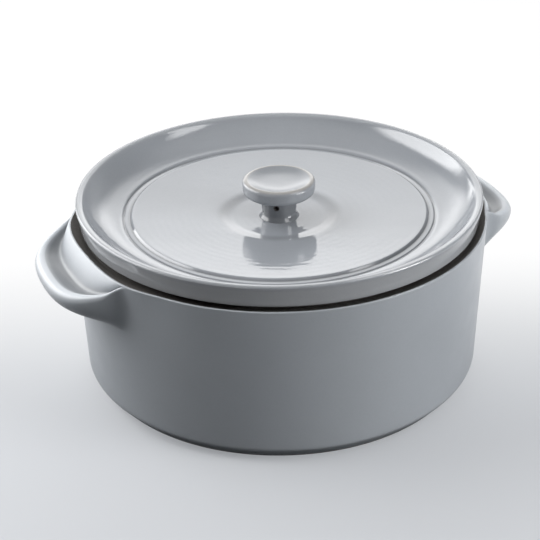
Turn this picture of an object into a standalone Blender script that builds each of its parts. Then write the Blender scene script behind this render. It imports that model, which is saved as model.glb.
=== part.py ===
"""A round stoneware casserole: a pot with two scooped ear handles, and a dish-shaped lid
with a hollow knob.

The pot stands on its foot ring at z = 0, with the Z axis through its middle and a handle at
each end of the X axis. Lengths are in metres. Every piece is one closed body, and pieces
that touch on the real dish keep the small gap FIT between them.
"""

import math

import bmesh
import bpy
from mathutils import Matrix, Vector
from mathutils.geometry import interpolate_bezier

# Pot: the outside
RIM_RADIUS = 0.1194
POT_HEIGHT = 0.0964
WALL_DRAFT = 0.0036  # radius that the wall loses from the rim down to the heel
HEEL_HEIGHT = 0.0080
HEEL_ROUND = 0.0050
FOOT_SET_IN = 0.0069  # how far the foot stands inside the heel
FOOT_WIDTH = 0.0070
FOOT_RECESS = 0.0022
FOOT_ROUND = 0.0008

# Pot: the inside
WALL = 0.0072
FLOOR = 0.0072
INNER_ROUND = 0.0170

# Gallery: the stepped rim that the lid sits in
RIM_EDGE = 0.0012
RIM_BAND = 0.0056  # width of the bare clay slope from the rim's edge down to the ledge
RIM_ROUND = 0.0006
GALLERY_DROP = 0.0046
LEDGE_WIDTH = 0.0070
LEDGE_DEPTH = 0.0070
LEDGE_ROUND = 0.0012
CORBEL = 0.0100  # height over which the ledge swells out of the wall
CORBEL_ROUND = 0.0040

# Handles
HANDLE_REACH = 0.0235
HANDLE_ROOT_WIDTH = 0.1132
HANDLE_DROOP = 0.0111  # how far the lip at the tip hangs below the rim
HANDLE_DEPTH = 0.0338  # from the rim down to where the underside meets the wall, at the tip
HANDLE_END_DEPTH = 0.0308  # the same at the two ends of the root
HANDLE_EDGE = 0.0005  # thickness of the handle where it ends on the wall
LIP_ROUND = 0.0038
LIP_BACK = math.radians(25)  # how steeply the scoop comes up to the lip
SCOOP_FALL = math.radians(55)  # how steeply the scoop leaves the rim
SCOOP_PULLS = (0.66, 0.72)  # how far each end of the scoop's curve runs straight, of its chord
FLANK_PULLS = (0.54, 0.12)  # the same for the underside, of its height
PLAN_POWERS = (4, 3)  # seen from above: how flat the tip is, and how softly the root starts
DROOP_POWER = 0.60  # under 1 the lip drops early on its way from the root to the tip
DEPTH_POWER = 0.50

# Lid
LID_SET_IN = 0.0023  # the pot's rim stands this far outside the lid
LID_RISE = 0.0172  # from the seat up to the top of the rim
LID_EDGE_HEIGHT = 0.0131
LID_FLARE = 0.0025  # how far the top of the lid's side stands outside its low edge
LID_RIM_WIDTH = 0.0053
LID_RIM_ROUND = 0.0022
LID_RIM_INNER_ROUND = 0.0016
LID_EDGE_ROUND = 0.0012
LID_THICKNESS = 0.0062
DISH_DEPTH = 0.0123
DISC_RADIUS = 0.0848
DISC_DIP = 0.0033  # how far the disc sinks from its edge to its middle
DISC_STEP = 0.0012
DISC_STEP_RUN = 0.0014
BAND_WIDTH = 0.0044
BEAD_HEIGHT = 0.0006
BEAD_RUN = 0.0009
STEP_ROUND = 0.0009
HOLLOW_RADIUS = 0.0335
HOLLOW_DEPTH = 0.0004
LAND_MARGIN = 0.0012  # flat clay shown round the knob's base
SOFT_PULL = 0.45  # how far each end of the hollow's curve runs straight, of its run
SLOPE_FOOT_PULL = (0.48, 0.06)  # run and rise of the dish's slope where it starts
SLOPE_TOP_PULL = (0.15, 0.39)  # and where it comes up to the rim
SEAT_STEP = 0.0061  # from the lid's low edge in to the seat ring
SEAT_ROUND = 0.0009
FLANGE_CLEARANCE = 0.0012
FLANGE_DROP = 0.0050
FLANGE_WIDTH = 0.0046
FLANGE_ROUND = 0.0018
FLANGE_HEEL = 0.0016

# Knob
KNOB_RADIUS = 0.0210
KNOB_TOP = 0.02235  # height over the lid's hollow
KNOB_HEAD = 0.00845
KNOB_DISH = 0.0022
KNOB_CREST = 0.0194  # radius of the raised ring round the dished top
KNOB_CREST_FALL = 0.0003
KNOB_CREST_ROUND = 0.0010
KNOB_TAPER = 0.0003
KNOB_EDGE_ROUND = 0.0014
KNOB_FOOT_ROUND = 0.0024
HEAD_SLANT = 0.0016  # how far the underside of the head falls towards the stem
STEM_RADIUS = 0.0097  # at the waist, just over the lid
STEM_SPREAD = 0.0013  # radius that the stem gains from there up to the head
STEM_FLARE = 0.0025
WAIST_HEIGHT = 0.0018
STEM_ROUND = 0.0030
KNOB_WALL = 0.0042
VENT_RADIUS = 0.0013
VENT_BELOW_HEAD = 0.0058
VENT_ANGLE = math.radians(-121)

FIT = 0.0003  # gap between pieces that touch

# Glazes
POT_COLOUR = (0.27, 0.29, 0.31)
POT_ROUGHNESS = 0.42
HANDLE_COLOUR = (0.29, 0.31, 0.33)
HANDLE_ROUGHNESS = 0.34
LID_COLOUR = (0.36, 0.38, 0.40)
LID_ROUGHNESS = 0.12

# Facets
TURN_STEPS = 56
KNOB_STEPS = 32
VENT_STEPS = 16
ARC_TOLERANCE = 0.00010
CURVE_POINTS = 8
SOFT_CURVE_POINTS = 5
LIP_POINTS = 6
HANDLE_SECTIONS = 29
SHARP_ANGLE = math.radians(40)
MERGE_DISTANCE = 1e-6

# Two neighbouring arcs share a side, so neither takes more than this part of it
ARC_SHARE = 0.49


def clear_scene():
    for old in list(bpy.data.objects):
        bpy.data.objects.remove(old, do_unlink=True)


def glaze(name, colour, roughness):
    """A fired glaze: a non-metal with the given colour and roughness."""
    material = bpy.data.materials.new(name)
    material.use_nodes = True
    shader = material.node_tree.nodes["Principled BSDF"]
    shader.inputs["Base Color"].default_value = (*colour, 1)
    shader.inputs["Roughness"].default_value = roughness
    shader.inputs["Metallic"].default_value = 0
    return material


def add_object(name, mesh, material=None, parent=None):
    piece = bpy.data.objects.new(name, mesh)
    if material:
        mesh.materials.append(material)
    piece.parent = parent
    bpy.context.scene.collection.objects.link(piece)
    return piece


def ease(t):
    """Runs smoothly from 0 to 1, level at both ends."""
    t = min(max(t, 0), 1)
    return t * t * (3 - 2 * t)


def curve(start, start_pull, end_pull, end, points=CURVE_POINTS):
    """Points (radius, height) on a cubic curve, each end pulled by its own vector."""
    knots = [Vector((*start, 0)), Vector((*start, 0)) + Vector((*start_pull, 0))]
    knots += [Vector((*end, 0)) + Vector((*end_pull, 0)), Vector((*end, 0))]
    return [(p.x, p.y) for p in interpolate_bezier(*knots, points)]


def rounded(corners):
    """The outline through corners (radius, height, round), each corner turned on an arc."""
    outline = []
    for i, (radius, height, fillet) in enumerate(corners):
        here = Vector((radius, height))
        if not fillet:
            outline.append(here)
            continue
        back = Vector(corners[i - 1][:2]) - here
        on = Vector(corners[i + 1][:2]) - here
        half = back.angle(on) / 2
        side = min(fillet / math.tan(half), ARC_SHARE * min(back.length, on.length))
        start = here + back.normalized() * side
        middle = here + (back.normalized() + on.normalized()).normalized() * (side / math.cos(half))
        turn = math.pi - 2 * half
        left = back.x * on.y - back.y * on.x < 0
        facet = 2 * math.acos(1 - min(1, ARC_TOLERANCE / (start - middle).length))
        steps = max(1, math.ceil(turn / facet))
        for k in range(steps + 1):
            angle = turn * k / steps * (1 if left else -1)
            outline.append(middle + Matrix.Rotation(angle, 2) @ (start - middle))
    return outline


def turned(name, outline, steps, material, parent=None, height=0):
    """A piece of revolution: its outline (radius, height), turned once about Z by a Screw."""
    mesh = bpy.data.meshes.new(name)
    points = [(p[0], 0, p[1]) for p in outline]
    mesh.from_pydata(points, [(i, i + 1) for i in range(len(points) - 1)], [])
    piece = add_object(name, mesh, material, parent)
    piece.location.z = height
    screw = piece.modifiers.new("turn", "SCREW")
    screw.steps = steps
    screw.render_steps = steps
    screw.use_merge_vertices = True
    screw.merge_threshold = MERGE_DISTANCE
    screw.use_smooth_shade = True
    return piece


def wall_radius(height):
    """The outer wall's radius at a height between heel and rim."""
    return RIM_RADIUS - WALL_DRAFT * (POT_HEIGHT - height) / (POT_HEIGHT - HEEL_HEIGHT)


LEDGE_HEIGHT = POT_HEIGHT - GALLERY_DROP
LEDGE_RADIUS = RIM_RADIUS - RIM_EDGE - RIM_BAND
BORE_RADIUS = LEDGE_RADIUS - LEDGE_WIDTH


def pot_outline():
    """From the middle of the floor up the inside, over the gallery and down to the foot."""
    floor = FOOT_RECESS + FLOOR
    corbel_top = LEDGE_HEIGHT - LEDGE_DEPTH
    corbel_foot = corbel_top - CORBEL
    foot = RIM_RADIUS - WALL_DRAFT - FOOT_SET_IN
    inner_foot = foot - FOOT_WIDTH
    return rounded([
        (0, floor, 0),
        (wall_radius(floor) - WALL, floor, INNER_ROUND),
        (wall_radius(corbel_foot) - WALL, corbel_foot, CORBEL_ROUND),
        (BORE_RADIUS, corbel_top, CORBEL_ROUND),
        (BORE_RADIUS, LEDGE_HEIGHT, LEDGE_ROUND),
        (LEDGE_RADIUS, LEDGE_HEIGHT, LEDGE_ROUND),
        (RIM_RADIUS - RIM_EDGE, POT_HEIGHT, RIM_ROUND),
        (RIM_RADIUS, POT_HEIGHT, RIM_ROUND),
        (RIM_RADIUS - WALL_DRAFT, HEEL_HEIGHT, HEEL_ROUND),
        (foot, 0, FOOT_ROUND),
        (inner_foot, 0, FOOT_ROUND),
        (inner_foot - FOOT_RECESS, FOOT_RECESS, FOOT_ROUND),
        (0, FOOT_RECESS, 0),
    ])


def make_pot():
    finish = glaze("satin_grey_glaze", POT_COLOUR, POT_ROUGHNESS)
    return turned("pot_body", pot_outline(), TURN_STEPS, finish)


def handle_section(angle, root_angle):
    """The handle's closed outline (radius, height) at an angle from its middle: down the
    scoop from the rim, over the lip, back under to the wall, and up the wall again."""
    swell = (1 - (abs(angle) / root_angle) ** PLAN_POWERS[0]) ** PLAN_POWERS[1]
    top = POT_HEIGHT - RIM_ROUND
    root = wall_radius(top) + FIT
    reach = HANDLE_EDGE + (HANDLE_REACH - HANDLE_EDGE) * swell
    lip = min(LIP_ROUND, ARC_SHARE * reach)
    low = POT_HEIGHT - HANDLE_END_DEPTH - (HANDLE_DEPTH - HANDLE_END_DEPTH) * swell ** DEPTH_POWER
    low_root = wall_radius(low) + FIT
    lip_radius = root + reach - lip
    lip_height = top - HANDLE_DROOP * swell ** DROOP_POWER - lip
    lip_start = (lip_radius - lip * math.sin(LIP_BACK), lip_height + lip * math.cos(LIP_BACK))
    chord = math.dist((root, top), lip_start)
    leave = SCOOP_PULLS[0] * chord
    arrive = SCOOP_PULLS[1] * chord
    flank = lip_height - low
    outline = curve(
        (root, top),
        (leave * math.cos(SCOOP_FALL), -leave * math.sin(SCOOP_FALL)),
        (-arrive * math.cos(LIP_BACK), -arrive * math.sin(LIP_BACK)),
        lip_start,
    )
    for k in range(1, LIP_POINTS):
        turn = (math.pi / 2 + LIP_BACK) * (1 - k / LIP_POINTS)
        outline.append((lip_radius + lip * math.cos(turn), lip_height + lip * math.sin(turn)))
    outline += curve(
        (root + reach, lip_height),
        (0, -FLANK_PULLS[0] * flank),
        (0, FLANK_PULLS[1] * flank),
        (low_root + HANDLE_EDGE, low),
    )
    outline.append((low_root, low))
    return outline


def handle_mesh():
    """The sections lofted from one end of the root to the other."""
    root_angle = math.asin(HANDLE_ROOT_WIDTH / 2 / RIM_RADIUS)
    model = bmesh.new()
    rings = []
    for i in range(HANDLE_SECTIONS):
        angle = root_angle * (2 * i / (HANDLE_SECTIONS - 1) - 1)
        across = Vector((math.cos(angle), math.sin(angle), 0))
        up = Vector((0, 0, 1))
        section = handle_section(angle, root_angle)
        rings.append([model.verts.new(across * r + up * z) for r, z in section])
    count = len(rings[0])
    for one, two in zip(rings, rings[1:]):
        for k in range(count):
            model.faces.new((one[k], one[(k + 1) % count], two[(k + 1) % count], two[k]))
    model.faces.new(reversed(rings[0]))
    model.faces.new(rings[-1])
    bmesh.ops.recalc_face_normals(model, faces=model.faces)
    mesh = bpy.data.meshes.new("ear_handle")
    model.to_mesh(mesh)
    model.free()
    mesh.shade_smooth()
    mesh.set_sharp_from_angle(angle=SHARP_ANGLE)
    return mesh


def make_handles(pot):
    """One ear handle at each end of the X axis, both from the same mould."""
    mesh = handle_mesh()
    mesh.materials.append(glaze("handle_grey_glaze", HANDLE_COLOUR, HANDLE_ROUGHNESS))
    add_object("handle_right", mesh, parent=pot)
    left = add_object("handle_left", mesh, parent=pot)
    left.rotation_euler.z = math.pi


# Heights on the lid are measured from its seat ring
LID_RADIUS = RIM_RADIUS - LID_SET_IN
DISC_HEIGHT = LID_RISE - DISH_DEPTH
KNOB_BASE = STEM_RADIUS + STEM_FLARE
KNOB_LAND = KNOB_BASE + LAND_MARGIN


def bowl_height(radius):
    """The disc's top, which sinks with the square of the radius from its edge to the middle."""
    return DISC_HEIGHT - DISC_DIP * (1 - (radius / DISC_RADIUS) ** 2)


def bowl_slope(radius):
    """How fast the disc's top rises with the radius."""
    return 2 * DISC_DIP * radius / DISC_RADIUS ** 2


HOLLOW_HEIGHT = bowl_height(KNOB_LAND) - HOLLOW_DEPTH


def disc_outline():
    """The disc's top: a soft curve from the flat under the knob up out of the hollow, and
    from there the bowl out to the disc's edge."""
    level = SOFT_PULL * (HOLLOW_RADIUS - KNOB_LAND)
    third = (DISC_RADIUS - HOLLOW_RADIUS) / 3
    hollow = curve(
        (KNOB_LAND, HOLLOW_HEIGHT),
        (level, 0),
        (-level, -level * bowl_slope(HOLLOW_RADIUS)),
        (HOLLOW_RADIUS, bowl_height(HOLLOW_RADIUS)),
        SOFT_CURVE_POINTS,
    )
    bowl = curve(
        (HOLLOW_RADIUS, bowl_height(HOLLOW_RADIUS)),
        (third, third * bowl_slope(HOLLOW_RADIUS)),
        (-third, -third * bowl_slope(DISC_RADIUS)),
        (DISC_RADIUS, DISC_HEIGHT),
        SOFT_CURVE_POINTS,
    )
    return [(0, HOLLOW_HEIGHT)] + hollow + bowl[1:]


def lid_outline():
    """From the middle of the hollow out over the dished top, down the side and back in."""
    band = DISC_HEIGHT - DISC_STEP
    slope_foot = DISC_RADIUS + DISC_STEP_RUN + BAND_WIDTH + BEAD_RUN
    slope_low = band + BEAD_HEIGHT
    slope_top = LID_RADIUS - LID_RIM_WIDTH
    slope_run = slope_top - slope_foot
    slope_rise = LID_RISE - LID_RIM_INNER_ROUND - slope_low
    low_edge = LID_RISE - LID_EDGE_HEIGHT
    flange = BORE_RADIUS - FLANGE_CLEARANCE
    inner = flange - FLANGE_WIDTH
    disc = disc_outline()
    slope = curve(
        (slope_foot, slope_low),
        (SLOPE_FOOT_PULL[0] * slope_run, SLOPE_FOOT_PULL[1] * slope_rise),
        (-SLOPE_TOP_PULL[0] * slope_run, -SLOPE_TOP_PULL[1] * slope_rise),
        (slope_top, slope_low + slope_rise),
    )
    low_radius = LID_RADIUS - LID_FLARE
    seat_edge = low_radius - SEAT_STEP
    return rounded([
        *((r, z, 0) for r, z in disc[:-1]),
        (DISC_RADIUS, DISC_HEIGHT, STEP_ROUND),
        (DISC_RADIUS + DISC_STEP_RUN, band, STEP_ROUND),
        (slope_foot - BEAD_RUN, band, STEP_ROUND),
        *((r, z, 0) for r, z in slope),
        (slope_top + LID_RIM_INNER_ROUND / 2, LID_RISE, LID_RIM_INNER_ROUND),
        (LID_RADIUS, LID_RISE, LID_RIM_ROUND),
        (low_radius, low_edge, LID_EDGE_ROUND),
        (seat_edge, low_edge, SEAT_ROUND),
        (seat_edge, 0, SEAT_ROUND),
        (flange, 0, SEAT_ROUND),
        (flange, -FLANGE_DROP, FLANGE_ROUND),
        (inner, -FLANGE_DROP, FLANGE_ROUND),
        (inner - FLANGE_HEEL, band - LID_THICKNESS, FLANGE_HEEL),
        *((r, z - LID_THICKNESS, 0) for r, z in reversed(disc)),
    ])


def make_lid():
    finish = glaze("gloss_grey_glaze", LID_COLOUR, LID_ROUGHNESS)
    return turned("lid", lid_outline(), TURN_STEPS, finish, height=LEDGE_HEIGHT + FIT)


def knob_outline():
    """From the middle of the dished top over the head and down the stem, then up inside."""
    head = KNOB_TOP - KNOB_HEAD
    head_foot = KNOB_RADIUS - KNOB_TAPER
    crest_run = KNOB_CREST - KNOB_CREST_ROUND
    dish = curve(
        (0, KNOB_TOP - KNOB_DISH),
        (SOFT_PULL * crest_run, 0),
        (-SOFT_PULL * crest_run, -KNOB_DISH / 2),
        (crest_run, KNOB_TOP - KNOB_CREST_FALL),
        SOFT_CURVE_POINTS,
    )
    cavity = STEM_RADIUS - KNOB_WALL
    return rounded([
        *((r, z, 0) for r, z in dish),
        (KNOB_CREST, KNOB_TOP, KNOB_CREST_ROUND),
        (KNOB_RADIUS, KNOB_TOP - KNOB_CREST_FALL, KNOB_EDGE_ROUND),
        (head_foot, head, KNOB_FOOT_ROUND),
        (STEM_RADIUS + STEM_SPREAD, head - HEAD_SLANT, STEM_ROUND),
        (STEM_RADIUS, WAIST_HEIGHT, STEM_ROUND),
        (KNOB_BASE, 0, 0),
        (cavity, 0, 0),
        (cavity, head, STEM_ROUND),
        (head_foot - KNOB_WALL, head + KNOB_WALL / 2, STEM_ROUND),
        (0, KNOB_TOP - KNOB_DISH - KNOB_WALL, 0),
    ])


def make_knob(lid):
    finish = glaze("knob_grey_glaze", LID_COLOUR, LID_ROUGHNESS)
    piece = turned("lid_knob", knob_outline(), KNOB_STEPS, finish, lid, HOLLOW_HEIGHT + FIT)
    vent = piece.modifiers.new("vent", "BOOLEAN")
    vent.operation = "DIFFERENCE"
    vent.solver = "EXACT"
    vent.object = vent_cutter(piece)
    return piece


def vent_cutter(knob):
    """A pin through one wall of the stem, just under the head."""
    length = STEM_RADIUS + STEM_FLARE
    model = bmesh.new()
    lie_along_x = Matrix.Translation((length / 2, 0, 0)) @ Matrix.Rotation(math.pi / 2, 4, "Y")
    bmesh.ops.create_cone(
        model, cap_ends=True, segments=VENT_STEPS, radius1=VENT_RADIUS, radius2=VENT_RADIUS,
        depth=length, matrix=lie_along_x,
    )
    mesh = bpy.data.meshes.new("vent_pin")
    model.to_mesh(mesh)
    model.free()
    cutter = add_object("vent_pin", mesh, parent=knob)
    cutter.location.z = KNOB_TOP - KNOB_HEAD - VENT_BELOW_HEAD
    cutter.rotation_euler.z = VENT_ANGLE
    cutter.hide_render = True
    cutter.display_type = "WIRE"
    return cutter


clear_scene()
pot_body = make_pot()
make_handles(pot_body)
make_knob(make_lid())
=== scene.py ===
"""The looks of a round stoneware casserole dish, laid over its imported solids."""

import math

import bpy
import numpy as np
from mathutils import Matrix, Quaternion, Vector


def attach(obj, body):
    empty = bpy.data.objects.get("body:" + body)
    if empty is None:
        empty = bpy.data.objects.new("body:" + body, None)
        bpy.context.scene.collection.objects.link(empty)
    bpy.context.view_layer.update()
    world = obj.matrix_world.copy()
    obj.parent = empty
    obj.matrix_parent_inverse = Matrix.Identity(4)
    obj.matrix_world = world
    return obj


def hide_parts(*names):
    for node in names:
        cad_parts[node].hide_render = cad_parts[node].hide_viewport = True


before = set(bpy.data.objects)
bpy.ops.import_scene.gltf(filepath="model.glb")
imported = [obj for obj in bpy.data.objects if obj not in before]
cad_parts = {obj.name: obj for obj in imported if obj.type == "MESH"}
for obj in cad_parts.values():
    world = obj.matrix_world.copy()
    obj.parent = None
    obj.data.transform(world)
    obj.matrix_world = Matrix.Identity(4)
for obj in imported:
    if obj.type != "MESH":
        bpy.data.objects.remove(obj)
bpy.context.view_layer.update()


# Pot with its two ear handles
# A stoneware bowl, cast with a slightly tapering wall, and a scooped ear luted to each side while
# the clay was soft. The joints are wiped smooth, and one satin grey glaze runs over wall and ears;
# the gallery that carries the lid and the foot ring are wiped bare before the firing.

rim_radius = 0.11937
rim_edge = 0.0012
rim_edge_round = 0.0005
rim_inner_round = 0.0004
pot_height = 0.0957
wall_draft = 0.0036
wall_thickness = 0.0072
heel_height = 0.0080
heel_round = 0.0050
floor_height = 0.0094
floor_round = 0.0170
ledge_height = 0.0918
ledge_radius = 0.1126
ledge_depth = 0.0070
ledge_round = 0.0012
bore_radius = 0.1056
corbel_height = 0.0100
corbel_round = 0.0040
foot_radius = 0.1089
foot_width = 0.0070
foot_recess = 0.0022
foot_round = 0.0008

ear_reach = 0.0235
ear_root_angle = math.radians(28.3)
ear_plan_powers = (4, 3)
ear_droop = 0.0104
ear_droop_power = 0.6
ear_lip_round = 0.0054
ear_lip_back = math.radians(25)
ear_scoop_slope = math.radians(35)
ear_scoop_pulls = (0.66, 0.72)
ear_depth = 0.0331
ear_depth_power = 0.5
ear_end_depth = 0.0301
ear_flank_pulls = (0.54, 0.12)
ear_merge = 0.40
ear_bulge = 0.0019
ear_bulge_angles = (math.radians(20), math.radians(32))
ear_bulge_skew = math.radians(5)

# Rows of points on an ear's four stretches, and how far down each stretch ends on the plain wall.
edge_rows, scoop_rows, lip_rows, flank_rows = 7, 30, 20, 34
plain_shares = (0, 0.01, 0.06, 1)
wall_rows = 22
pot_row_gap = 0.0040
ear_sector = math.radians(30)
ear_sector_columns = 97
plain_sector_columns = 61

# The glaze's marks, each as the places where it starts and where it is full. On the ears the place
# counts from 0 at the rim to 1 where the lip starts and 2 where it ends, and elsewhere in metres.
# On the ears the paler glaze on the scoop's slope and the lip is a painted highlight, and the
# darker glaze in the trough between them is painted shade.
scoop_thin_share = 0.9
scoop_thin = (0.50, 0.05)
lip_thin_start = (0.92, 1.12)
lip_thin_end = (1.85, 1.45)
trough_pool_start = (0.22, 0.72)
trough_pool_end = (1.04, 0.92)
bore_wipe = (-0.0010, 0)
rim_wipe = (0.0004, -0.0002)
gallery_wipe = (-0.0030, -0.0020)
foot_wipe = (0.0012, 0.0006)
recess_wipe = (-0.0030, -0.0020)
rim_thin_share = 0.1
rim_thin_height = (-0.0014, -0.0006)
rim_thin_inset = (-0.0012, -0.0007)
# Painted shade at the foot: how dark, and where it starts and is full by height and by reach.
foot_pool_share = 0.6
foot_pool_height = (0, -0.0030)
foot_pool_reach = (0, 0.0010)


def ease(t):
    """Runs from 0 to 1 as 3t^2 - 2t^3, level at both ends."""
    t = np.clip(t, 0, 1)
    return t * t * (3 - 2 * t)


def ramp(value, start, full):
    """Eases from 0 where the value is at the start to 1 where it is at full, either way round."""
    return ease((value - start) / (full - start))


def bezier(p0, p1, p2, p3, steps):
    """A cubic Bezier for every column at once: the four control points (2, columns), weighed by
    the cubic Bernstein terms of a parameter from 0 to 1. The result is (steps, 2, columns)."""
    t = np.linspace(0, 1, steps)[:, None, None]
    return (1 - t) ** 3 * p0 + 3 * (1 - t) ** 2 * t * p1 + 3 * (1 - t) * t ** 2 * p2 + t ** 3 * p3


def rounded_outline(corners, facet=math.radians(9)):
    """The outline through corners (radius, height, round). Each corner is turned on the circle of
    that radius which touches both its sides, sampled evenly by angle."""
    corner = np.asarray(corners, float)
    line = [corner[:1, :2]]
    for before, here, after in zip(corner, corner[1:], corner[2:]):
        back = (before - here)[:2] / np.linalg.norm((before - here)[:2])
        on = (after - here)[:2] / np.linalg.norm((after - here)[:2])
        half = math.acos(back @ on) / 2
        centre = here[:2] + (back + on) / np.linalg.norm(back + on) * here[2] / math.sin(half)
        start = here[:2] + back * here[2] / math.tan(half) - centre
        turn = (math.pi - 2 * half) * np.sign(back[1] * on[0] - back[0] * on[1])
        steps = np.linspace(0, 1, 2 + int(abs(turn) / facet))
        angle = math.atan2(start[1], start[0]) + turn * steps
        line.append(centre + here[2] * np.stack([np.cos(angle), np.sin(angle)], 1))
    return np.vstack([*line, corner[-1:, :2]])


def fill_runs(line, gap):
    """Puts evenly spaced points between neighbours that are further apart than the gap."""
    run = np.linalg.norm(np.diff(line, axis=0), axis=1)
    parts = np.maximum(1, np.ceil(run / gap)).astype(int)
    at = np.repeat(np.arange(len(run)), parts)
    part = np.arange(parts.sum()) - np.repeat(np.cumsum(parts) - parts, parts)
    share = (part / np.repeat(parts, parts))[:, None]
    return np.vstack([line[at] + share * (line[at + 1] - line[at]), line[-1]])


def skin(name, radius, height, around, **marks):
    """A closed skin of points (radius cos a, radius sin a, height), from arrays of rows along the
    outline by columns round the axis. Each cell is a face, the columns close on themselves, and
    the first and last rows lie on the axis and become one point each. Marks are kept as
    attributes, one value a point."""
    rows, columns = radius.shape
    grid = np.stack([radius * np.cos(around), radius * np.sin(around), height], -1)
    points = np.vstack([grid[0, :1], grid[1:-1].reshape(-1, 3), grid[-1, :1]])
    one = np.arange(columns)
    two = np.roll(one, -1)
    row = 1 + columns * np.arange(rows - 3)[:, None]
    cells = np.stack([row + one, row + columns + one, row + columns + two, row + two], -1)
    last = 1 + columns * (rows - 3)
    top = np.stack([np.zeros_like(one), 1 + one, 1 + two], 1)
    bottom = np.stack([last + one, np.full_like(one, len(points) - 1), last + two], 1)
    faces = top.tolist() + cells.reshape(-1, 4).tolist() + bottom.tolist()
    mesh = bpy.data.meshes.new(name)
    mesh.from_pydata(points.tolist(), [], faces)
    mesh.shade_smooth()
    for mark, value in marks.items():
        kept = np.concatenate([value[0, :1], value[1:-1].ravel(), value[-1, :1]])
        kept = kept.astype(np.float32)
        mesh.attributes.new(mark, "FLOAT", "POINT").data.foreach_set("value", kept)
    piece = bpy.data.objects.new(name, mesh)
    bpy.context.scene.collection.objects.link(piece)
    return piece


def wall_radius(height):
    """The wall's outer radius, which falls evenly from the rim to the heel by the draft."""
    return rim_radius - wall_draft * (pot_height - height) / (pot_height - heel_height)


def rim_bulge(around):
    """How far the rim stands outside its circle: it swells softly towards the two ends of each
    ear, where the clay was pressed on a little askew, and runs out again past them."""
    peak, end = ear_bulge_angles
    off_axis = np.arccos(np.abs(np.cos(around - ear_bulge_skew)))
    return ear_bulge * ramp(off_axis, 0, peak) * ramp(off_axis, end, peak)


def ear_columns(swell, bulge):
    """The outline from the flat of the rim down to the plain wall, as (rows, 2, columns). Where
    swell is 0 it is the rim's rounded edge and the wall; where it is 1 it runs down the scoop,
    up over the round lip and back under to the wall. Each is a chain of an arc, a cubic, an arc
    and a cubic that share their tangents. Also gives where the wall goes on, a painted highlight
    of paler glaze on the scoop's slope and the lip, and painted shade of darker glaze in the
    trough between them."""
    rim = rim_radius + bulge
    reach = (ear_reach - bulge) * swell
    lip = ear_lip_round * reach / (reach + ear_lip_round)
    crest = pot_height - ear_droop * swell ** ear_droop_power
    low = pot_height - ear_end_depth - (ear_depth - ear_end_depth) * swell ** ear_depth_power
    blend = ramp(swell, 0, ear_merge)
    turn_end = ear_scoop_slope * blend
    turn = np.pi / 2 + np.linspace(0, 1, edge_rows)[:, None] * (turn_end - np.pi / 2)
    edge = np.stack([
        rim - rim_edge_round + rim_edge_round * np.cos(turn),
        pot_height - rim_edge_round + rim_edge_round * np.sin(turn),
    ], 1)
    lip_turn = np.linspace(np.pi / 2 + ear_lip_back, 0, lip_rows)[:, None]
    bead = np.stack([
        rim + reach - lip + lip * np.cos(lip_turn),
        crest - lip + lip * np.sin(lip_turn),
    ], 1)
    start, end = edge[-1], bead[0]
    chord = np.linalg.norm(end - start, axis=0)
    leave = ear_scoop_pulls[0] * np.stack([np.sin(turn_end), -np.cos(turn_end)]) * chord
    arrive = ear_scoop_pulls[1] * np.outer([math.cos(ear_lip_back), math.sin(ear_lip_back)], chord)
    scoop = bezier(start, start + leave, end - arrive, end, scoop_rows)
    flank_drop = bead[-1, 1] - low
    wall_low = np.stack([wall_radius(low), low])
    wall_lean = np.array([wall_draft / (pot_height - heel_height), 1])
    down = ear_flank_pulls[0] * np.outer([0, -1], flank_drop)
    lean = ear_flank_pulls[1] * np.outer(wall_lean, flank_drop)
    flank = bezier(bead[-1], bead[-1] + down, wall_low + lean, wall_low, flank_rows)
    ear = np.concatenate([edge, scoop[1:], bead[1:], flank[1:]])
    row = np.arange(len(ear))
    ends = np.cumsum([edge_rows - 1, scoop_rows - 1, lip_rows - 1, flank_rows - 1])
    below_edge = np.interp(row[edge_rows:], ends, plain_shares)[:, None]
    plain_z = np.concatenate([edge[:, 1], edge[-1, 1] - below_edge * (edge[-1, 1] - low)])
    plain_r = wall_radius(plain_z[edge_rows:]) + bulge * (1 - below_edge) ** 2
    plain = np.stack([np.concatenate([edge[:, 0], plain_r]), plain_z], 1)
    along = np.interp(row, ends, (0, 1, 2, 2))[:, None]
    # Painted highlight: paler glaze down the scoop's slope and over the lip.
    thin = scoop_thin_share * ramp(along, *scoop_thin)
    thin = thin + ramp(along, *lip_thin_start) * ramp(along, *lip_thin_end)
    # Painted shade: darker glaze in the trough between the scoop and the lip.
    pooled = ramp(along, *trough_pool_start) * ramp(along, *trough_pool_end)
    return (1 - blend) * plain + blend * ear, low, thin * blend, pooled * blend


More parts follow.
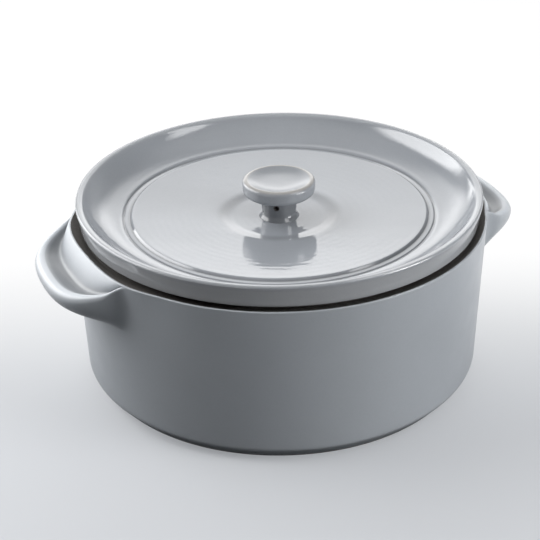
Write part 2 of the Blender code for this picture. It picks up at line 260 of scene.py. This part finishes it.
def pot_columns(around):
    """Rows of (radius, height) for every column: the inside from the middle of the floor up to the
    rim, the ears, the wall below them, and the foot back to the middle. Also gives the ears'
    painted highlight and painted shade, row by row."""
    corbel_top = ledge_height - ledge_depth
    corbel_foot = corbel_top - corbel_height
    inside = fill_runs(rounded_outline([
        (0, floor_height, 0),
        (wall_radius(floor_height) - wall_thickness, floor_height, floor_round),
        (wall_radius(corbel_foot) - wall_thickness, corbel_foot, corbel_round),
        (bore_radius, corbel_top, corbel_round),
        (bore_radius, ledge_height, ledge_round),
        (ledge_radius, ledge_height, ledge_round),
        (rim_radius - rim_edge, pot_height, rim_inner_round),
        (rim_radius - rim_edge_round, pot_height, 0),
    ]), pot_row_gap)
    bulge = rim_bulge(around)
    inside = inside[:, :, None] * np.ones(len(around))
    inside[:, 0] += bulge * ramp(inside[:, 0], ledge_radius, rim_radius - rim_edge)
    off_axis = np.arccos(np.abs(np.cos(around)))
    from_axis = np.minimum(off_axis / ear_root_angle, 1)
    swell = (1 - from_axis ** ear_plan_powers[0]) ** ear_plan_powers[1]
    ears, low, thin, pooled = ear_columns(swell, bulge)
    foot_top = 2 * heel_height
    foot = fill_runs(rounded_outline([
        (wall_radius(foot_top), foot_top, 0),
        (wall_radius(heel_height), heel_height, heel_round),
        (foot_radius, 0, foot_round),
        (foot_radius - foot_width, 0, foot_round),
        (foot_radius - foot_width - foot_recess, foot_recess, foot_round),
        (0, foot_recess, 0),
    ]), pot_row_gap)
    foot = foot[:, :, None] * np.ones(len(around))
    drop = np.linspace(0, 1, wall_rows)[1:-1, None]
    wall_z = low + drop * (foot_top - low)
    wall = np.stack([wall_radius(wall_z), wall_z], 1)
    rows = np.concatenate([inside, ears[1:], wall, foot])
    above = np.zeros_like(inside[:, 0])
    below = np.zeros((len(wall) + len(foot), len(around)))
    return rows, *(np.concatenate([above, mark[1:], below]) for mark in (thin, pooled))


ear_fan = np.linspace(-ear_sector, ear_sector, ear_sector_columns)
plain_fan = np.linspace(ear_sector, math.pi - ear_sector, plain_sector_columns)[1:-1]
pot_around = np.concatenate([ear_fan, plain_fan, ear_fan + math.pi, plain_fan + math.pi])
pot_rows, ear_thin, ear_pooled = pot_columns(pot_around)
pot_r, pot_z = pot_rows[:, 0], pot_rows[:, 1]
pot_rim = rim_radius + rim_bulge(pot_around)
gallery_bare = (
    ramp(pot_r - bore_radius, *bore_wipe)
    * ramp(pot_r - pot_rim + rim_edge, *rim_wipe)
    * ramp(pot_z - ledge_height, *gallery_wipe)
)
foot_bare = ramp(pot_z, *foot_wipe) * ramp(pot_r - foot_radius + foot_width, *recess_wipe)
rim_thin = (
    rim_thin_share
    * ramp(pot_z - pot_height, *rim_thin_height)
    * ramp(pot_r - pot_rim, *rim_thin_inset)
)
# Painted shade: the glaze darkens on the lower heel outside the foot, which faces down to the table.
foot_pooled = (
    foot_pool_share
    * ramp(pot_z - heel_height, *foot_pool_height)
    * ramp(pot_r - foot_radius, *foot_pool_reach)
)
# The pot's thin mark holds the rim's thin glaze and the ears' painted highlight; its pooled mark
# holds painted shade in the ears' troughs and at the foot.
pot = skin(
    "pot_skin", pot_r, pot_z, pot_around,
    bare=np.maximum(gallery_bare, foot_bare),
    thin=np.maximum(rim_thin, ear_thin),
    pooled=np.maximum(ear_pooled, foot_pooled),
)
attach(pot, "pot")
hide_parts("pot_body", "handle_left", "handle_right")

# What all the glazes here share. Scales are those of the noise on metres, and a span is the stretch
# of the noise's values that is spread over the tones or the swing.
noise_span = (0.3, 0.7)
drift_scale = 22.0
drift_tones = (0.97, 1.03)
speck_scale = 900.0
speck_span = (0.25, 0.75)
# How dark the glaze goes where it pooled and where it carries painted shade.
pooled_tone = 0.52
grit_tones = (0.75, 1.2)
grit_height = 0.4
clay_roughness = 0.85
ragged_scale = 420.0
ragged_span = (0.2, 0.8)
ragged_swing = (-0.25, 0.25)
ragged_cut = (0.40, 0.60)
satin_scale = 70.0
satin_swing = (0.85, 1.15)
wave_scales = (60.0, 260.0, 800.0)
wave_heights = (1.0, 0.40, 0.09)
ring_scale = 70.0


def place(tree, kind, inputs, **settings):
    """A shader node with its settings, and each input fixed to a value or wired to a socket."""
    node = tree.nodes.new(kind)
    for name, value in settings.items():
        setattr(node, name, value)
    for name, value in inputs.items():
        if isinstance(value, bpy.types.NodeSocket):
            tree.links.new(value, node.inputs[name])
        else:
            node.inputs[name].default_value = value
    return node


def maths(tree, operation, one, two):
    """Two values joined by one operation."""
    return place(tree, "ShaderNodeMath", {0: one, 1: two}, operation=operation).outputs[0]


def spread(tree, value, span, to, shape="LINEAR"):
    """The value's stretch from span[0] to span[1], spread from to[0] to to[1] and held there past
    its ends."""
    return place(tree, "ShaderNodeMapRange", {
        "Value": value, "From Min": span[0], "From Max": span[1], "To Min": to[0], "To Max": to[1],
    }, interpolation_type=shape).outputs["Result"]


def mix_colour(tree, share, one, two, blend="MIX"):
    """The colour that goes from one to two, or with MULTIPLY to one times two, as the share goes
    from 0 to 1."""
    return place(
        tree, "ShaderNodeMix", {0: share, 6: one, 7: two}, data_type="RGBA", blend_type=blend
    ).outputs[2]


def glaze_group():
    """A fired stoneware glaze on Object coordinates: a slow drift of tone, fine specks, and a
    surface that froze in waves and, as high as Rings says, in fine rings round the axis. The thin
    mark pales the glaze where it ran thin off an edge and also as a painted highlight, the pooled
    mark deepens it where it gathered and also as painted shade, and Bare lets the clay through on
    a ragged edge."""
    tree = bpy.data.node_groups.new("fired_glaze", "ShaderNodeTree")
    for name, kind in (
        ("Glaze", "NodeSocketColor"), ("Thin Glaze", "NodeSocketColor"), ("Clay", "NodeSocketColor"),
        ("Thin", "NodeSocketFloat"), ("Pooled", "NodeSocketFloat"), ("Bare", "NodeSocketFloat"),
        ("Gloss", "NodeSocketFloat"), ("Specks", "NodeSocketFloat"), ("Rings", "NodeSocketFloat"),
    ):
        tree.interface.new_socket(name, in_out="INPUT", socket_type=kind)
    for name, kind in (
        ("Color", "NodeSocketColor"), ("Roughness", "NodeSocketFloat"), ("Height", "NodeSocketFloat"),
    ):
        tree.interface.new_socket(name, in_out="OUTPUT", socket_type=kind)
    given = tree.nodes.new("NodeGroupInput").outputs
    here = tree.nodes.new("ShaderNodeTexCoord").outputs["Object"]

    def noise(scale, detail=2.0, roughness=0.5):
        """Blender's noise at that scale, on the piece's own coordinates."""
        return place(tree, "ShaderNodeTexNoise", {
            "Vector": here, "Scale": scale, "Detail": detail, "Roughness": roughness,
        }).outputs["Fac"]

    drift = spread(tree, noise(drift_scale, detail=3.0), noise_span, drift_tones)
    specks = spread(tree, noise(speck_scale, roughness=0.6), speck_span, (-1.0, 1.0))
    tone = maths(tree, "ADD", drift, maths(tree, "MULTIPLY", specks, given["Specks"]))
    deepening = spread(tree, given["Pooled"], (0.0, 1.0), (1.0, pooled_tone))
    tone = maths(tree, "MULTIPLY", tone, deepening)
    glaze = mix_colour(tree, given["Thin"], given["Glaze"], given["Thin Glaze"])
    glaze = mix_colour(tree, 1.0, glaze, tone, "MULTIPLY")
    grit = spread(tree, noise(speck_scale, detail=4.0, roughness=0.7), noise_span, grit_tones)
    clay = mix_colour(tree, 1.0, given["Clay"], grit, "MULTIPLY")
    ragged = spread(tree, noise(ragged_scale), ragged_span, ragged_swing)
    bare = spread(tree, maths(tree, "ADD", given["Bare"], ragged), ragged_cut, (0.0, 1.0))
    swing = spread(tree, noise(satin_scale, detail=3.0), noise_span, satin_swing)
    satin = maths(tree, "MULTIPLY", given["Gloss"], swing)
    to_clay = maths(tree, "SUBTRACT", clay_roughness, satin)
    rough = maths(tree, "ADD", satin, maths(tree, "MULTIPLY", bare, to_clay))
    rings = place(tree, "ShaderNodeTexWave", {
        "Vector": here, "Scale": ring_scale, "Distortion": 1.5, "Detail": 1.0, "Detail Scale": 1.0,
    }, wave_type="RINGS", rings_direction="Z").outputs["Fac"]
    height = maths(tree, "MULTIPLY", rings, given["Rings"])
    for scale, share in zip(wave_scales, wave_heights):
        wave = maths(tree, "MULTIPLY", noise(scale, detail=1.0), share)
        height = maths(tree, "ADD", height, wave)
    roughcast = maths(tree, "MULTIPLY", bare, maths(tree, "MULTIPLY", grit, grit_height))
    out = tree.nodes.new("NodeGroupOutput").inputs
    tree.links.new(mix_colour(tree, bare, glaze, clay), out["Color"])
    tree.links.new(rough, out["Roughness"])
    tree.links.new(maths(tree, "ADD", height, roughcast), out["Height"])
    return tree


fired_glaze = glaze_group()


def glaze_material(name, colours, gloss, specks, ripple, index, rings=0.0):
    """A glazed clay surface: the shared glaze with this piece's colours for plain glaze, pale glaze
    and clay, and the marks read from the mesh: bare clay, thin glaze and painted highlight, and
    pooled glaze and painted shade. Ripple is the height of its waves in metres."""
    material = bpy.data.materials.new(name)
    material.use_nodes = True
    tree = material.node_tree
    shader = tree.nodes["Principled BSDF"]
    shader.inputs["IOR"].default_value = index
    plain, thin, clay = ((*colour, 1) for colour in colours)
    glaze = place(tree, "ShaderNodeGroup", {
        "Glaze": plain, "Thin Glaze": thin, "Clay": clay,
        "Gloss": gloss, "Specks": specks, "Rings": rings,
    }, node_tree=fired_glaze)
    for socket in ("Bare", "Thin", "Pooled"):
        mark = place(tree, "ShaderNodeAttribute", {}, attribute_name=socket.lower())
        tree.links.new(mark.outputs["Fac"], glaze.inputs[socket])
    bump = place(tree, "ShaderNodeBump", {"Height": glaze.outputs["Height"], "Distance": ripple})
    tree.links.new(glaze.outputs["Color"], shader.inputs["Base Color"])
    tree.links.new(glaze.outputs["Roughness"], shader.inputs["Roughness"])
    tree.links.new(bump.outputs["Normal"], shader.inputs["Normal"])
    return material


glaze_grey = (0.36, 0.385, 0.415)
# The pale grey is the thin glaze at the rim's edge and the painted highlight on the ears.
pale_grey = (0.555, 0.588, 0.625)
# Bare clay painted near black instead of its own brown, as painted shade in the gap under the lid;
# the same dark colour serves the bare foot, the seat ring and the pin hole.
bare_clay = (0.088, 0.081, 0.074)
pot.data.materials.append(glaze_material(
    "satin_pot_glaze", (glaze_grey, pale_grey, bare_clay),
    gloss=0.35, specks=0.02, ripple=0.00007, index=1.6,
))


# Lid
# A shallow stoneware dish with an upturned, flaring rim, pressed with a raised disc that sinks
# towards the knob and that a fine double ring borders. It drops into the pot's gallery on a bare
# seat ring and is kept central by a flange. Its glaze is glossier than the pot's.

lid_seat = 0.0921
lid_radius = 0.1169
lid_rise = 0.0172
lid_thickness = 0.0062
lid_edge_radius = 0.1146
lid_edge_height = 0.0041
lid_edge_round = 0.0012
disc_radius = 0.0848
disc_height = 0.0049
disc_dip = 0.0033
disc_edge = 0.0015
disc_step = 0.0012
disc_step_run = 0.0014
disc_step_round = 0.0009
hollow_radius = 0.0310
hollow_edge = 0.0100
hollow_depth = 0.0009
groove_inset = 0.0017
groove_half_width = 0.0009
groove_depth = 0.0004
groove_lip = 0.0002
groove_lip_round = 0.0005
groove_round = 0.0004
slope_foot = 0.0915
slope_foot_rise = 0.0006
slope_foot_pull = (0.0098, 0.0007)
slope_top = 0.1118
slope_top_drop = 0.0016
slope_top_pull = (-0.0031, -0.0044)
shoulder_run = 0.0010
shoulder_drop = 0.0006
shoulder_round = 0.0016
crown_inset = 0.0019
crown_round = 0.0035
brim_drop = 0.0004
brim_round = 0.0013
seat_radius = 0.1085
seat_round = 0.0008
flange_radius = 0.1044
flange_drop = 0.0050
flange_width = 0.0046
flange_round = 0.0018
flange_root_run = 0.0016
flange_root_round = 0.0012
disc_rows = 57
slope_rows = 26
lid_row_gap = 0.0022
lid_columns = 256

# The lid's marks, each as the places where it starts and where it is full.
seat_wipe_height = (0.0012, 0.0006)
seat_wipe_inside = (-0.0008, 0.0002)
seat_wipe_outside = (0.0007, 0.0003)
brim_thin_run = (0, 0.0012)
brim_thin_share = 0.3
side_thin_height = (-0.0008, -0.0028)
ring_pool_share = 0.6
step_pool = (0.0012, 0.0004)
groove_pool = (0.0011, 0.0003)
# A darker ring round the knob's hollow: how dark, how far out, and its width.
hollow_pool_share = 0.4
hollow_pool_offset = 0.0010
hollow_pool = (0.0060, 0.0010)


def curve(start, start_pull, end_pull, end, steps):
    """Points on one cubic Bezier whose ends are pulled along the two vectors."""
    start, end = np.array(start)[:, None], np.array(end)[:, None]
    pulls = np.array(start_pull)[:, None], np.array(end_pull)[:, None]
    return bezier(start, start + pulls[0], end + pulls[1], end, steps)[:, :, 0]


def disc_top(radius):
    """The disc's height: a bowl that falls with the square of the radius from its edge to the
    middle, less a hollow round the knob whose soft edge is centred on its radius."""
    bowl = disc_height - disc_dip * (1 - (radius / disc_radius) ** 2)
    return bowl - hollow_depth * ramp(
        radius, hollow_radius + hollow_edge / 2, hollow_radius - hollow_edge / 2
    )


def lid_outline():
    """From the middle over the dished disc, its double ring, the concave slope and the crowned
    rim, down the flaring side, and back in under the seat and flange."""
    band = disc_height - disc_step
    middle = np.linspace(0, disc_radius - disc_edge, disc_rows)
    disc = np.stack([middle, disc_top(middle)], 1)
    below = disc[::-1] - (0, lid_thickness)
    slope = curve(
        (slope_foot, band + slope_foot_rise), slope_foot_pull,
        slope_top_pull, (slope_top, lid_rise - slope_top_drop), slope_rows,
    )
    groove = slope_foot - groove_inset
    ring = rounded_outline([
        (*disc[-1], 0),
        (disc_radius, disc_height, disc_step_round),
        (disc_radius + disc_step_run, band, disc_step_round),
        (groove - groove_half_width, band, groove_lip_round),
        (groove, band - groove_depth, groove_round),
        (groove + groove_half_width, band + groove_lip, groove_lip_round),
        (*slope[0], 0),
    ])
    flange_inside = flange_radius - flange_width
    rim = rounded_outline([
        (*slope[-1], 0),
        (slope_top + shoulder_run, lid_rise - shoulder_drop, shoulder_round),
        (lid_radius - crown_inset, lid_rise, crown_round),
        (lid_radius, lid_rise - brim_drop, brim_round),
        (lid_edge_radius, lid_edge_height, lid_edge_round),
        (seat_radius, lid_edge_height, seat_round),
        (seat_radius, 0, seat_round),
        (flange_radius, 0, seat_round),
        (flange_radius, -flange_drop, flange_round),
        (flange_inside, -flange_drop, flange_round),
        (flange_inside - flange_root_run, band - lid_thickness, flange_root_round),
        (*below[0], 0),
    ])
    return fill_runs(np.vstack([disc, ring[1:-1], slope, rim[1:-1], below]), lid_row_gap)


lid_around = np.linspace(0, 2 * math.pi, lid_columns, endpoint=False)
lid_line = lid_outline()
lid_r = lid_line[:, :1] * np.ones_like(lid_around)
lid_z = lid_line[:, 1:] * np.ones_like(lid_around)
lid_bare = (
    ramp(lid_z, *seat_wipe_height)
    * ramp(lid_r - flange_radius + flange_width, *seat_wipe_inside)
    * ramp(lid_r - seat_radius, *seat_wipe_outside)
)
side_thin = ramp(lid_z - lid_rise, *side_thin_height)
lid_thin = ramp(lid_r - slope_top, *brim_thin_run) * (
    brim_thin_share + (1 - brim_thin_share) * side_thin
)
from_step = np.abs(lid_r - disc_radius - disc_step_run)
from_groove = np.abs(lid_r - slope_foot + groove_inset)
from_hollow = np.abs(lid_r - hollow_radius - hollow_pool_offset)
ring_pooled = np.maximum(ramp(from_step, *step_pool), ramp(from_groove, *groove_pool))
# Darker glaze: pooled in the step and the groove, and a darker ring round the knob's hollow.
lid_pooled = np.maximum(
    ring_pool_share * ring_pooled, hollow_pool_share * ramp(from_hollow, *hollow_pool)
)
lid = skin(
    "lid_skin", lid_r, lid_z + lid_seat, lid_around,
    bare=lid_bare, thin=lid_thin, pooled=lid_pooled,
)
deep_grey = (0.294, 0.312, 0.338)
thin_grey = (0.362, 0.374, 0.392)
lid.data.materials.append(glaze_material(
    "gloss_lid_glaze", (deep_grey, thin_grey, bare_clay),
    gloss=0.07, specks=0.02, ripple=0.00010, index=1.75, rings=0.15,
))
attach(lid, "lid")
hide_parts("lid")


# Lid knob
# A hollow mushroom knob, cast by itself and luted into the lid's hollow: a head with a dished top
# and a round edge, on a waisted stem. A pin hole under the head let the steam out in the firing.

knob_seat = 0.0937
knob_top = 0.02230
knob_radius = 0.0211
knob_crest = 0.0184
knob_crest_round = 0.0012
knob_dish = 0.0021
dish_middle_pull = (0.0110, 0)
dish_edge_pull = (-0.0048, -0.0014)
dish_edge_inset = 0.0012
dish_edge_drop = 0.0003
head_edge_drop = 0.0005
head_edge_round = 0.0022
head_foot = 0.0139
head_foot_inset = 0.0003
head_foot_round = 0.0034
stem_top_radius = 0.0110
stem_top_drop = 0.0016
stem_top_round = 0.0030
stem_waist_radius = 0.0097
stem_waist_height = 0.0018
stem_waist_round = 0.0024
stem_base_radius = 0.0116
stem_foot = -0.0008
cavity_radius = 0.0060
cavity_foot_round = 0.0004
cavity_neck_drop = 0.0010
cavity_neck_round = 0.0025
cavity_head_radius = 0.0150
cavity_head_rise = 0.0024
cavity_head_round = 0.0012
cavity_middle_rise = 0.0020
vent_radius = 0.0013
vent_height = 0.0081
vent_depth = 0.0036
vent_angle = math.radians(-121)
vent_half_angle = 0.22
vent_sector_columns = 41
rest_sector_columns = 113
dish_rows = 16
head_row_gap = 0.0010
stem_rows_drop = 0.0010
stem_row_gap = 0.00022
cavity_row_gap = 0.0020

# The pin hole's edge and the knob's marks, each as the places where it starts and where it is full.
vent_edge = (0.0002, -0.0002)
vent_bare = (0.0007, 0.0003)
crest_thin_height = (-0.0012, -0.0002)
crest_thin_run = (-0.0010, 0)
# Painted shade on the stem under the head: how dark, and where it starts and is full.
stem_pool_share = 0.6
stem_pool_height = (0, -0.0030)


def knob_outline():
    """From the middle of the dished top over the crest and round the head, down the waisted stem,
    then up inside to the middle. The stem's points lie close together, for the pin hole. Also
    gives the row where the inside starts."""
    dish = curve(
        (0, knob_top - knob_dish), dish_middle_pull,
        dish_edge_pull, (knob_crest - dish_edge_inset, knob_top - dish_edge_drop), dish_rows,
    )
    head = rounded_outline([
        (*dish[-1], 0),
        (knob_crest, knob_top, knob_crest_round),
        (knob_radius, knob_top - head_edge_drop, head_edge_round),
        (knob_radius - head_foot_inset, head_foot, head_foot_round),
        (stem_top_radius, head_foot - stem_top_drop, stem_top_round),
        (stem_waist_radius, stem_waist_height, stem_waist_round),
        (stem_base_radius, stem_foot, 0),
    ])
    inside = rounded_outline([
        (stem_base_radius, stem_foot, 0),
        (cavity_radius, stem_foot, cavity_foot_round),
        (cavity_radius, head_foot - cavity_neck_drop, cavity_neck_round),
        (cavity_head_radius, head_foot + cavity_head_rise, cavity_head_round),
        (0, head_foot + cavity_middle_rise, 0),
    ])
    stem = head[:, 1] < head_foot - stem_rows_drop
    outer = np.vstack([
        fill_runs(np.vstack([dish, head[1:][~stem[1:]]]), head_row_gap),
        fill_runs(head[stem], stem_row_gap),
    ])
    return np.vstack([outer, fill_runs(inside, cavity_row_gap)[1:]]), len(outer)


vent_fan = np.linspace(-vent_half_angle, vent_half_angle, vent_sector_columns)
rest_fan = np.linspace(vent_half_angle, 2 * math.pi - vent_half_angle, rest_sector_columns)[1:-1]
knob_around = vent_angle + np.concatenate([vent_fan, rest_fan])
knob_line, inside_row = knob_outline()
knob_r = knob_line[:, :1] * np.ones_like(knob_around)
knob_z = knob_line[:, 1:] * np.ones_like(knob_around)
near_vent = (slice(inside_row), slice(vent_sector_columns))
from_vent = np.full_like(knob_r, np.inf)
from_vent[near_vent] = np.hypot(knob_r[near_vent] * vent_fan, knob_z[near_vent] - vent_height)
knob_r = knob_r - vent_depth * ramp(from_vent - vent_radius, *vent_edge)
knob_bare = ramp(from_vent - vent_radius, *vent_bare)
knob_thin = (
    ramp(knob_z - knob_top, *crest_thin_height) * ramp(knob_r - knob_crest, *crest_thin_run)
)
# Painted shade: the stem under the head is darkened.
knob_pooled = stem_pool_share * ramp(knob_z - head_foot, *stem_pool_height)
knob = skin(
    "knob_skin", knob_r, knob_z + knob_seat, knob_around,
    bare=knob_bare, thin=knob_thin, pooled=knob_pooled,
)
knob_grey = (0.274, 0.290, 0.312)
warm_grey = (0.330, 0.322, 0.312)
knob.data.materials.append(glaze_material(
    "gloss_knob_glaze", (knob_grey, warm_grey, bare_clay),
    gloss=0.09, specks=0.02, ripple=0.00006, index=1.6,
))
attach(knob, "lid")
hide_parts("lid_knob")


# Table, light and camera
# A pale painted table top that runs out to white, and a room with a bright wall behind the dish.
# A broad soft light stands on its left, a small one and a high one on its right, and the camera
# looks down on it from the front, a little to the left.

view_turn = math.radians(22.4)
ahead = Vector((math.sin(view_turn), math.cos(view_turn), 0))
rightward = Vector((math.cos(view_turn), -math.sin(view_turn), 0))

# The table's colours in front of the dish and behind it: as the camera sees the paint, as the paint
# throws light back on the dish, and as it glows; and the glow's share of what the camera sees.
table_half = 6.0
table_fade = (-0.10, 0.16)
seen_paint = ((0.52, 0.53, 0.55, 1), (0.60, 0.60, 0.60, 1))
bounce_paint = ((0.05, 0.053, 0.058, 1), (0.60, 0.60, 0.60, 1))
table_glow = ((0.80, 0.83, 0.87, 1), (1.08, 1.08, 1.08, 1))
glow_shares = (0.32, 0.85)

table_mesh = bpy.data.meshes.new("table_top")
table_mesh.from_pydata([
    (-table_half, -table_half, 0),
    (table_half, -table_half, 0),
    (table_half, table_half, 0),
    (-table_half, table_half, 0),
], [], [(0, 1, 2, 3)])
table = bpy.data.objects.new("table_top", table_mesh)
bpy.context.scene.collection.objects.link(table)
table_paint = bpy.data.materials.new("pale_table")
table_paint.use_nodes = True
table_tree = table_paint.node_tree
paint = table_tree.nodes["Principled BSDF"]
paint.inputs["Roughness"].default_value = 0.7
paint.inputs["Specular IOR Level"].default_value = 0.2
turned = place(table_tree, "ShaderNodeMapping", {
    "Vector": table_tree.nodes.new("ShaderNodeTexCoord").outputs["Object"],
    "Rotation": (0, 0, view_turn),
}).outputs["Vector"]
depth = place(table_tree, "ShaderNodeSeparateXYZ", {"Vector": turned}).outputs["Y"]
far = spread(table_tree, depth, table_fade, (0.0, 1.0), "SMOOTHSTEP")
path = place(table_tree, "ShaderNodeLightPath", {}).outputs
seen, bounced, glow = (
    mix_colour(table_tree, far, before, beyond)
    for before, beyond in (seen_paint, bounce_paint, table_glow)
)
tint = mix_colour(table_tree, path["Is Camera Ray"], bounced, seen)
table_tree.links.new(tint, paint.inputs["Base Color"])
lift = place(table_tree, "ShaderNodeEmission", {"Color": glow})
glow_share = spread(table_tree, far, (0.0, 1.0), glow_shares)
seen_share = maths(table_tree, "MULTIPLY", path["Is Camera Ray"], glow_share)
mirrored_share = maths(table_tree, "MULTIPLY", path["Is Glossy Ray"], far)
both = place(table_tree, "ShaderNodeMixShader", {
    0: maths(table_tree, "ADD", seen_share, mirrored_share),
    1: paint.outputs[0],
    2: lift.outputs[0],
})
table_tree.links.new(both.outputs[0], table_tree.nodes["Material Output"].inputs["Surface"])
table.data.materials.append(table_paint)

# The room's brightness by direction, as it lights the dish: each line gives a stretch of one part of
# the direction, and the brightness, or the share of it that is left, at the two ends. The camera
# sees plain white.
wall_bearing = math.radians(-4)
wall_rise = ((0.04, 0.31), (1.1, 2.9))
wall_upper = ((0.28, 0.50), (1.0, 0.65))
wall_top = ((0.48, 0.85), (1.0, 0.10))
wall_sides = ((0.25, 0.46), (1.0, 0.16))
wall_back = ((0.35, 0.90), (0.0, 1.0))
strip_height = ((0.08, 0.18), (3.0, 0.0))
strip_side = ((-0.24, -0.40), (0.0, 1.0))
ceiling = ((0.65, 0.95), (0.05, 0.65))
camera_white = 1.0

room = bpy.data.worlds.new("studio")
bpy.context.scene.world = room
room.use_nodes = True
room_tree = room.node_tree
sky = room_tree.nodes["Background"]
sky.inputs["Color"].default_value = (1, 1, 1, 1)
towards = place(room_tree, "ShaderNodeMapping", {
    "Vector": room_tree.nodes.new("ShaderNodeTexCoord").outputs["Generated"],
    "Rotation": (0, 0, view_turn + wall_bearing),
}).outputs["Vector"]
across, back, up = place(room_tree, "ShaderNodeSeparateXYZ", {"Vector": towards}).outputs
aside = place(room_tree, "ShaderNodeMath", {0: across}, operation="ABSOLUTE").outputs[0]


def fade(part, stretch, levels):
    """A smooth change of brightness along a stretch of one part of the direction."""
    return spread(room_tree, part, stretch, levels, "SMOOTHSTEP")


def joined(operation, first, *others):
    """Brightnesses multiplied or added up, one after the other."""
    for other in others:
        first = maths(room_tree, operation, first, other)
    return first


wall = joined(
    "MULTIPLY", fade(up, *wall_rise), fade(up, *wall_upper), fade(up, *wall_top),
    fade(aside, *wall_sides), fade(back, *wall_back),
)
side_strip = joined("MULTIPLY", fade(up, *strip_height), fade(across, *strip_side))
room_glow = joined("ADD", wall, side_strip, fade(up, *ceiling))
camera_ray = place(room_tree, "ShaderNodeLightPath", {}).outputs["Is Camera Ray"]
strength = place(
    room_tree, "ShaderNodeMix", {0: camera_ray, 2: room_glow, 3: camera_white}, data_type="FLOAT"
).outputs[0]
room_tree.links.new(strength, sky.inputs["Strength"])

light_aim = Vector((0, 0, 0.06))
light_middle = (0.5, 0.5, 0)
light_edge = (0.30, 0.50)


def soft_light(name, bearing, rise, distance, width, height, brightness, roll=0.0):
    """A soft light that faces the dish, at a bearing right of straight behind it. It is brightest
    in the middle and fades out towards an oval that touches its sides. Its power is pi times its
    area and its brightness, where 1 looks white."""
    light = bpy.data.lights.new(name, "AREA")
    light.shape = "RECTANGLE"
    light.size = width
    light.size_y = height
    light.energy = math.pi * width * height * brightness
    light.use_nodes = True
    tree = light.node_tree
    spot = place(tree, "ShaderNodeNewGeometry", {}).outputs["Parametric"]
    off_centre = place(
        tree, "ShaderNodeVectorMath", {0: spot, 1: light_middle}, operation="DISTANCE"
    ).outputs["Value"]
    soft_edge = spread(tree, off_centre, light_edge, (1.0, 0.0), "SMOOTHSTEP")
    tree.links.new(soft_edge, tree.nodes["Emission"].inputs["Strength"])
    lamp = bpy.data.objects.new(name, light)
    level = ahead * math.cos(bearing) + rightward * math.sin(bearing)
    away = level * math.cos(rise) + Vector((0, 0, math.sin(rise)))
    lamp.location = light_aim + away * distance
    lamp.rotation_mode = "QUATERNION"
    lamp.rotation_quaternion = (-away).to_track_quat("-Z", "Y") @ Quaternion((0, 0, 1), roll)
    bpy.context.scene.collection.objects.link(lamp)


soft_light(
    "left_light", bearing=math.radians(-70), rise=math.radians(31), distance=1.25,
    width=1.88, height=1.10, brightness=5.4, roll=math.radians(25),
)
soft_light(
    "right_light", bearing=math.radians(112), rise=math.radians(13), distance=1.30,
    width=0.80, height=0.70, brightness=13.2,
)
soft_light(
    "high_light", bearing=math.radians(120), rise=math.radians(46), distance=1.30,
    width=1.35, height=0.46, brightness=3.8, roll=math.radians(30),
)

camera_place = Vector((-0.298, -0.72279, 0.47627))
camera_target = Vector((-0.02442, -0.04459, 0.08370))
camera_roll = math.radians(-1.09)
lens = bpy.data.cameras.new("view")
lens.lens = 100
lens.sensor_width = 36
camera = bpy.data.objects.new("view", lens)
camera.location = camera_place
camera.rotation_mode = "QUATERNION"
facing = (camera_target - camera_place).to_track_quat("-Z", "Y")
camera.rotation_quaternion = facing @ Quaternion((0, 0, 1), camera_roll)
bpy.context.scene.collection.objects.link(camera)
bpy.context.scene.camera = camera
bpy.context.scene.view_settings.view_transform = "Standard"
